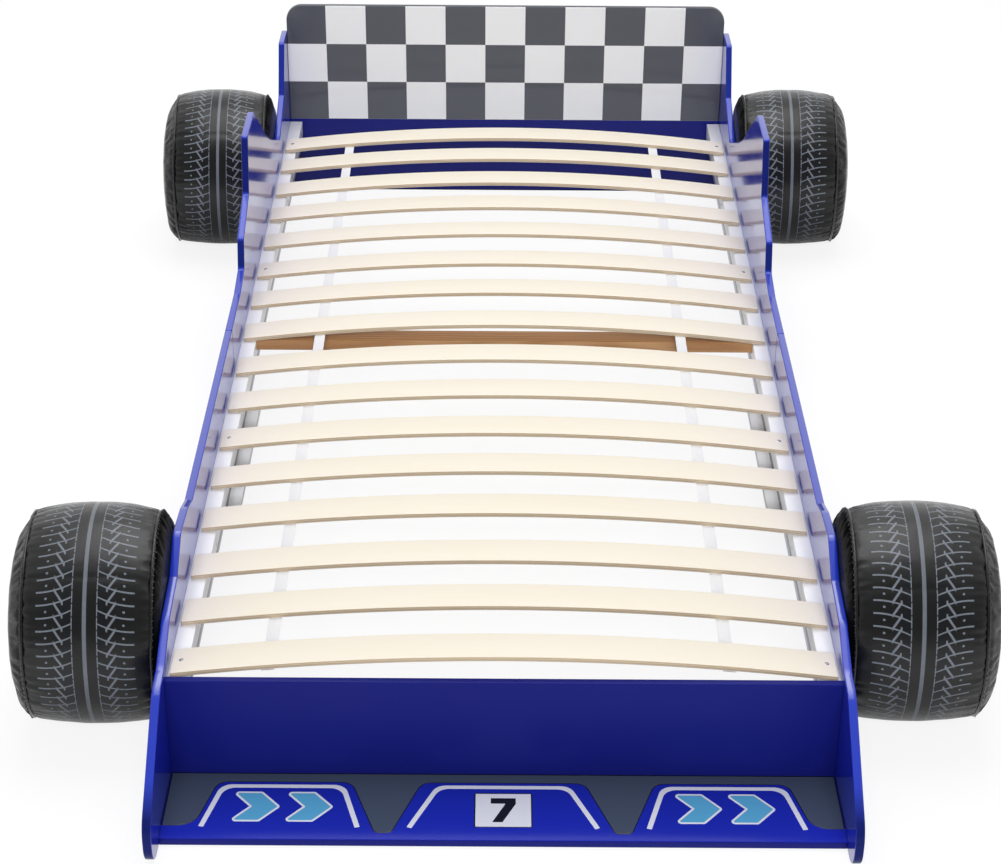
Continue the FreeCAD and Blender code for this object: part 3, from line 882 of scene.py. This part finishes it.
def wheel_mesh():
    """One cover, blown up and puckered at its seams, about the wheel's axis; +X is out from the panel."""
    profile = wheel_profile()
    mesh = plain_cover(profile)
    parts = [part for out, up, part in profile for spoke in range(SPOKES)] + ["back", "face"]
    seams = [i for i, (out, up, part) in enumerate(profile) if part == "tread" and out in (SEAM_IN, SEAM_OUT)]
    held = [i for i, part in enumerate(parts) if part == "back"]
    held += [ring * SPOKES + spoke for ring in seams for spoke in range(SPOKES)]
    fixed = set(held)
    for vertex in mesh.vertices:
        if vertex.index not in fixed:
            vertex.co.x += 0.0006 * noise.noise(vertex.co * 60.0)
            swell = noise.noise(vertex.co * 45.0 + Vector((3, 1, 2)))
            vertex.co.yz = vertex.co.yz * (1 + 0.004 * swell)
    piece = add_object("cover", mesh)
    settle(piece, held)
    bpy.data.objects.remove(piece)
    pucker(mesh, profile, seams)
    return mesh, seams


def pucker(mesh, profile, seams):
    """Short tucks that run off both seams, deepest at the stitching."""
    lengths = [0.0]
    for a, b in zip(profile, profile[1:]):
        lengths.append(lengths[-1] + hypot(a[0] - b[0], a[1] - b[1]))
    normals = [v.normal.copy() for v in mesh.vertices]
    for ring in range(4, len(profile)):
        for seed, seam in enumerate(seams):
            gap = lengths[ring] - lengths[seam]
            away = abs(gap) / TUCK_REACH[seed]
            if away > 3:
                continue
            fade = exp(-away * away * 1.4) * min(1.0, abs(gap) / 3.0)
            for spoke in range(SPOKES):
                angle = 2 * pi * spoke / SPOKES
                index = ring * SPOKES + spoke
                tuck = gather(angle, gap * 0.004, 11.0 * seed + (5.0 if gap > 0 else 0.0))
                mesh.vertices[index].co += normals[index] * (TUCK_DEPTH[seed] * fade * tuck)


def leaned(point, pressed):
    """The stuffing shifts: the cushion is pressed to the panel on one side and stands off on the other."""
    radius = hypot(point.y, point.z) / MM
    share = min(1.0, point.x / (SEAM_IN * MM)) * min(1.0, radius / SEAM_R) ** 2
    angle = atan2(point.z, -point.y) - radians(pressed)
    return Vector((point.x + LEAN * MM * (1 - cos(angle)) * share, point.y, point.z))


def sagged(point):
    """The stuffing sinks: the outer face swells low down, and the lower half of the tread fills out."""
    low = max(0.0, -point.z / (SEAM_R * MM))
    swell = max(0.0, point.x - SEAM_OUT * MM) / ((WHEEL_W - SEAM_OUT) * MM)
    radius = hypot(point.y, point.z) / MM
    hollow = max(0.0, min(1.0, (WHEEL_R - radius) / (WHEEL_R - SEAM_R), (radius - 70) / (SEAM_R - 70)))
    spread = 1 + 0.045 * low ** 2 * hollow
    return Vector((point.x, point.y * spread, point.z * spread - 0.02 * swell * (1 - swell)))


def grooved(point, seam_angle):
    """Drawn in a little along the tread's closing seam."""
    radius = hypot(point.y, point.z)
    if radius <= 0.138 or not 0.0 < point.x < (SEAM_OUT + 6) * MM:
        return point
    angle = atan2(point.z, -point.y)
    off = (angle - seam_angle + pi) % (2 * pi) - pi
    groove = exp(-(off * radius / 0.004) ** 2)
    drawn = point.copy()
    drawn.yz = point.yz * (1 - 0.0008 * groove / radius)
    return drawn


def cushion_shape(mesh, place, side, turn, closing):
    """The cover of one wheel: its own turn of the stuffing, its lean and sag, and its closing seam."""
    shape = mesh.copy()
    shape.name = f"cushion_{place}_{side}"
    shape.transform(Matrix.Rotation(radians(turn), 4, "X"))
    seam_angle = radians(closing)
    if side == "left":
        seam_angle = pi - seam_angle
    for vertex in shape.vertices:
        vertex.co = leaned(sagged(vertex.co), PRESSED[side])
        vertex.co = grooved(vertex.co, seam_angle)
        vertex.co.z = max(vertex.co.z, (0.2 - AXIS_Z) * MM)
    for polygon in shape.polygons:
        polygon.use_smooth = True
    return shape


def cushion_seat(place, side):
    """Where a cushion's own axes stand on the bed, and how plump it is."""
    sign = dict(SIDES)[side]
    seat = Matrix.Translation(Vector((sign * PANEL_OUT, WHEEL_Y[place] + WHEEL_SLACK[side], AXIS_Z)) * MM)
    seat = seat @ Matrix.Rotation(0.0 if sign > 0 else pi, 4, "Z")
    return seat @ Matrix.Scale(PLUMP[side], 4, (1, 0, 0))


def build_wheels(black, thread):
    mesh, seams = wheel_mesh()
    for (place, side), (phase, turn, closing) in WHEELS.items():
        shape = cushion_shape(mesh, place, side, turn, closing)
        shape.materials.append(leatherette(f"Leatherette_{place}_{side}", phase, PRESSED[side]))
        seat = cushion_seat(place, side)
        cushion = add_object(f"cushion_{place}_{side}", shape)
        cushion.matrix_world = seat
        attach(cushion, "root")
        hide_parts(f"wheel_cover_{place}_{side}", f"wheel_foam_{place}_{side}")
        trim, stitches = bmesh.new(), bmesh.new()
        for ring in seams:
            line = [shape.vertices[ring * SPOKES + spoke].co.copy() for spoke in range(SPOKES)]
            ridge = [p + Vector((0, p.y, p.z)).normalized() * 0.0008 for p in line]
            tube(trim, ridge, 0.0027, 6)
            sew(stitches, shape, ring)
        for bm in (trim, stitches):
            for vertex in bm.verts:
                vertex.co = seat @ vertex.co
                vertex.co.z = max(vertex.co.z, 0.0002)
        link(f"piping_{place}_{side}", trim, black)
        link(f"stitches_{place}_{side}", stitches, thread)


def sew(bm, shape, ring):
    """Overcast stitches that cross a seam, each pulled into the cover at both ends."""
    def spot(row, spoke):
        return shape.vertices[(ring + row) * SPOKES + spoke % SPOKES].co

    for spoke in range(0, SPOKES, 3):
        slip = 0.3 * noise.noise(Vector((spoke * 1.7, ring, 0.5)))
        start = spot(-1, spoke).lerp(spot(-1, spoke + 1), 0.2 + slip)
        end = spot(1, spoke).lerp(spot(1, spoke + 1), 0.8 + slip)
        out = Vector((0, start.y, start.z)).normalized()
        crest = start.lerp(end, 0.5) + out * 0.004
        tube(bm, [start - out * 0.0006, crest, end - out * 0.0006], 0.0009, 5, closed=False)


# ---- fittings
SLAT_SCREW_X = HALF - 13
RAIL_SCREWS, RAIL_SCREW_INSET = 7, 60
PLATE_SCREWS = (-90, -40, 40, 90)  # from the splice
BOLTS, BOLT_Z = (-60, 60), 80  # from a wheel's middle
CAM_X = PANEL_IN - 24
CAMS = ((HEAD_Y[1], (60, 200, 330)), (BULKHEAD_Y[1], (45, 130)))  # a board's face, and their heights
CAMS_UNDER = (-1038, -951)
BULKHEAD_SCREWS = (-300, 0, 300)


def build_fittings(steel, casting):
    signs = [sign for side, sign in SIDES]
    fronts = slat_fronts()
    spots = []
    for number in SCREWED:
        middle = fronts[-number] + SLAT_WIDTH / 2
        spots += [(sign * SLAT_SCREW_X, middle, on_arc(ARC_R, SLAT_SCREW_X) + 0.1) for sign in signs]
    heads("slat_screw_heads", spots, off_arc, 3.3, 0.4, 1.2, steel, "slat_screws")
    first, last = BULKHEAD_Y[1] + RAIL_SCREW_INSET, HEAD_Y[0] - RAIL_SCREW_INSET
    rows = [first + (last - first) * step / (RAIL_SCREWS - 1) for step in range(RAIL_SCREWS)]
    for side, sign in SIDES:
        inwards = (-sign, 0, 0)
        spots = [(sign * (RAIL_IN - 0.1), y, (RAIL_TOP + RAIL_LOW) / 2) for y in rows]
        heads(f"rail_screw_heads_{side}", spots, inwards, 4.0, 0.5, 1.3, steel, f"rail_screws_{side}")
        x, z = sign * (PLATE_IN - 0.1), RAIL_LOW - PLATE_HEIGHT / 2
        spots = [(x, SPLICE_Y + off, z) for off in PLATE_SCREWS]
        heads(f"splice_screw_heads_{side}", spots, inwards, 4.0, 0.5, 1.3, steel, f"splice_screws_{side}")
    spots = [(sign * PANEL_IN, y + off, BOLT_Z) for sign in signs for y in WHEEL_Y.values() for off in BOLTS]
    heads(
        "wheel_bolt_heads", spots, lambda spot: (-spot[0], 0, 0), 7.0, 2.5, 1.8, steel, "wheel_bolts",
        arms=6, arm=0.46, reach=0.42,
    )
    spots = [(sign * CAM_X, y + 0.1, z) for y, heights in CAMS for sign in signs for z in heights]
    heads("cam_faces", spots, (0, 1, 0), 7.5, 0.25, 1.6, casting, "cam_locks", arm=0.26, reach=0.7)
    down = (0, 0, -1)
    spots = [(sign * CAM_X, y, 0.35) for sign in signs for y in CAMS_UNDER]
    heads("cam_faces_under", spots, down, 7.5, 0.2, 1.6, casting, arm=0.26, reach=0.7)
    spots = [(x, sum(BULKHEAD_Y) / 2, 0.35) for x in BULKHEAD_SCREWS]
    heads("bulkhead_screw_heads", spots, down, 4.0, 0.2, 1.2, steel, "bulkhead_screws")


# ---- printed films on the nose
FIELD_TOP, WINDOW_TOP, FIELD_LOW, TOOTH_LOW = BULKHEAD_Y[0] - 0.4, -941.0, -1033.0, -1046.0
FIELD_SIDE = 455.2
STRIPE_TOP, STRIPE_LOW = -951.0, -1036.0
PLATE_HALF, PLATE_Y = 37.5, (-1033.0, -965.0)
CHEVRON_X, CHEVRON_Y = 299.0, (-1022.0, -966.0)


def film(name, shapes, level, thick, material, grow=0.0):
    """Thin printed shapes on the nose board; each is a list of (x, y, radius)."""
    bm = bmesh.new()
    for corners in shapes:
        loop = inset(rounded_loop(corners, 12.0), -grow)
        slab(bm, loop, thick, 0.02, upwards(BOARD + level), steps=1)
    link(name, bm, (material, "nose_print"))


def band(points, width, bend):
    """Corners of a stripe along points, round at its bends."""
    left, right = [], []
    last = len(points) - 1
    for index, (x, y) in enumerate(points):
        here = Vector((x, y))
        away = (Vector(points[min(index + 1, last)]) - here).normalized()
        into = (here - Vector(points[index - 1])).normalized() if index else away
        if index == last:
            away = into
        normal = Vector((-(into.y + away.y), into.x + away.x)).normalized()
        spread = max(0.4, normal.dot(Vector((-into.y, into.x))))
        half = normal * width / 2 / spread
        radius = 1.0 if index in (0, last) else bend
        left.append((*(here + half), radius))
        right.append((*(here - half), radius))
    return left + right[::-1]


def grey_field():
    """The dark field of the car's front, with three windows open to the blue and two teeth between them."""
    half = [
        (112, WINDOW_TOP, 20), (150, TOOTH_LOW, 9), (171, TOOTH_LOW, 9), (207, WINDOW_TOP, 20),
        (391, WINDOW_TOP, 20), (414, FIELD_LOW, 30), (FIELD_SIDE, FIELD_LOW, 1), (FIELD_SIDE, FIELD_TOP, 1),
    ]
    return half + [(-x, y, radius) for x, y, radius in half[::-1]]


def chevron(x, wide, tip):
    """An arrow-shaped corner list that starts at x and points to the right."""
    low, high = CHEVRON_Y
    middle = (low + high) / 2
    upper = [(x, high), (x + wide, high), (x + wide + tip, middle)]
    lower = [(x + wide, low), (x, low), (x + tip, middle)]
    return [(*corner, 2) for corner in upper + lower]


def build_nose(grey, white, sky, ink):
    film("print_line", [grey_field()], 0.0, 0.05, ink, grow=1.5)
    film("print_field", [grey_field()], 0.02, 0.06, grey)
    centre = [(-126, STRIPE_LOW), (-89, STRIPE_TOP), (89, STRIPE_TOP), (126, STRIPE_LOW)]
    side = [(195, STRIPE_LOW), (219, STRIPE_TOP), (383, STRIPE_TOP), (404, STRIPE_LOW)]
    paths = (centre, side, [(-x, y) for x, y in side])
    film("print_stripes", [band(path, 7.0, 20.0) for path in paths], 0.02, 0.06, white)
    arrows = [chevron(sign * CHEVRON_X + shift, 34, 24) for sign in (-1, 1) for shift in (-64, 8)]
    film("print_chevron_rims", arrows, 0.02, 0.05, white, grow=3.2)
    film("print_chevrons", arrows, 0.04, 0.06, sky)
    corners = ((-1, 0), (1, 0), (1, 1), (-1, 1))
    plate = [(way * PLATE_HALF, PLATE_Y[end], 1.5) for way, end in corners]
    film("print_plate_rim", [plate], 0.02, 0.05, ink, grow=1.8)
    film("print_plate", [plate], 0.04, 0.06, white)
    top, foot = PLATE_Y[1] - 9, PLATE_Y[0] + 9
    seven = [(-17, top), (17, top), (17, top - 12), (-1, foot), (-15, foot), (3, top - 11.5)]
    seven.append((-17, top - 11.5))
    film("print_digit", [[(x, y, 0.8) for x, y in seven]], 0.06, 0.06, ink)


# ---- camera, light and floor
CAMERA_AT = (-0.0102, -3.3285, 1.9446)
CAMERA_TURNS = (29.974, 0.075, 0.387)  # down, to the right and round its axis, in degrees
LENS, SENSOR = 79.52, 36.0
FLOOR_REACH, FLOOR_DROP = 9.0, 0.0004
WHITE = (1, 1, 1, 1)


def build_camera():
    pitch, yaw, roll = (radians(turn) for turn in CAMERA_TURNS)
    forward = Vector((sin(yaw) * cos(pitch), cos(yaw) * cos(pitch), -sin(pitch)))
    flat = Vector((cos(yaw), -sin(yaw), 0))
    lift = flat.cross(forward)
    right = flat * cos(roll) + lift * sin(roll)
    up = lift * cos(roll) - flat * sin(roll)
    data = bpy.data.cameras.new("Camera")
    data.sensor_width = SENSOR
    data.lens = LENS
    camera = add_object("Camera", data)
    turn = Matrix((right, up, -forward)).transposed().to_4x4()
    camera.matrix_world = Matrix.Translation(CAMERA_AT) @ turn
    bpy.context.scene.camera = camera


def area_light(name, at, towards, size, watts, glossy=True):
    data = bpy.data.lights.new(name, "AREA")
    data.shape = "RECTANGLE"
    data.size, data.size_y = size
    data.energy = watts
    lamp = add_object(name, data)
    lamp.location = at
    lamp.visible_glossy = glossy
    lamp.rotation_euler = (Vector(towards) - Vector(at)).to_track_quat("-Z", "Y").to_euler()


def studio_paper():
    """Matt white paper; the camera and mirrored rays see it glow, so that it is as white as the photo's."""
    paper = Finish("StudioPaper", rough=0.9, specular=0.0)
    fibre = paper.noise(40.0, 3.0)
    paper.set(color=mix(fibre, (0.76, 0.76, 0.76), (0.79, 0.79, 0.79)))
    glow = paper.node("ShaderNodeEmission", WHITE, 0.84).outputs[0]
    pale = paper.node("ShaderNodeBsdfDiffuse", (0.21, 0.21, 0.21, 1)).outputs[0]
    seen = output_of("ShaderNodeAddShader", glow, pale)
    rays = paper.node("ShaderNodeLightPath").outputs
    shown = either(rays["Is Camera Ray"], rays["Is Glossy Ray"], rays["Is Transmission Ray"])
    choice = output_of("ShaderNodeMixShader", shown, paper.shader.outputs[0], seen)
    fill(paper.tree, paper.output.inputs[0], choice)
    return paper.material


def build_studio():
    bm = bmesh.new()
    corners = ((-1, -1), (1, -1), (1, 1), (-1, 1))
    bm.faces.new([bm.verts.new((x * FLOOR_REACH, y * FLOOR_REACH, -FLOOR_DROP)) for x, y in corners])
    floor = add_object("studio_floor", to_mesh("studio_floor", bm))
    floor.data.materials.append(studio_paper())
    build_world()
    area_light("Overhead", (0, 0.8, 3.4), (0, 0.5, 0), (2.6, 3.4), 70.0)
    area_light("Front", (0, -8.0, 5.0), (0, 0.2, 0), (4.0, 3.0), 400.0, glossy=False)


def build_world():
    """Plain light from all round; the camera sees white, and mirrors see white that dims behind it."""
    world = bpy.data.worlds.new("Studio")
    bpy.context.scene.world = world
    world.use_nodes = True
    tree = world.node_tree
    tree.nodes.clear()

    rays = add_node(tree, "ShaderNodeLightPath").outputs
    way = add_node(tree, "ShaderNodeTexCoord").outputs["Generated"]
    along = output_of("ShaderNodeSeparateXYZ", way, index=1)
    behind = output_of("ShaderNodeMapRange", along, -0.75, 0.1, 0.35, 1.0)
    powers = (0.3, behind, 1.0)
    light, mirrored, white = (add_node(tree, "ShaderNodeBackground", WHITE, p).outputs[0] for p in powers)
    mirror = either(rays["Is Glossy Ray"], rays["Is Transmission Ray"])
    shown = output_of("ShaderNodeMixShader", mirror, light, mirrored)
    final = output_of("ShaderNodeMixShader", rays["Is Camera Ray"], shown, white)
    add_node(tree, "ShaderNodeOutputWorld", final)


# ---- everything
# a look is a material and the name of its slot
blue = (panel_lacquer(), "blue_lacquer")
shaded_blue = (dull_shaded_lacquer(), "blue_lacquer")
steel = (metal("ZincSteel", rgb(214, 216, 220), rgb(176, 178, 184), 0.26), "zinc_steel")
casting = (metal("ZincCasting", rgb(190, 191, 194), rgb(150, 151, 156), 0.42), "zinc_casting")
white = melamine("WhiteMelamine", rgb(252, 252, 252), rgb(247, 247, 248), 0.34, RAIL_SHADE_TOP)
# painted shade on the ends of the battens and splice plates
grey = melamine("GreyBoard", rgb(220, 221, 225), rgb(206, 207, 212), 0.45, cut=rgb(122, 121, 131))
black = melamine("BlackPiping", rgb(15, 15, 16), rgb(6, 6, 7), 0.26)
thread = melamine("BlackThread", rgb(58, 60, 65), rgb(20, 21, 23), 0.4)
build_panels(blue)
build_boards((nose_lacquer(), "nose_print"), shaded_blue, (headboard_print(), "headboard_print"))
build_rails((white, "white_melamine"), (grey, "grey_board"), (brown_wood(), "brown_wood"))
build_slats((birch(), "birch"))
build_straps((webbing(), "white_webbing"), steel)
build_wheels((black, "black_leatherette"), (thread, "black_leatherette"))
build_fittings(steel, casting)
build_nose(
    grey=print_film("PrintGrey", FIELD_GREY),
    white=print_film("PrintWhite", rgb(238, 241, 252)),
    sky=print_film("PrintSky", rgb(96, 178, 224)),
    ink=print_film("PrintInk", rgb(30, 31, 36)),
)
wood = plywood()
for name, node in nodes.items():
    if not node.hide_render:
        metallic = "nut" in name or "cam" in name
        node.data.materials.clear()
        node.data.materials.append(steel[0] if metallic else wood)
build_camera()
build_studio()
bpy.context.scene.view_settings.view_transform = "Standard"
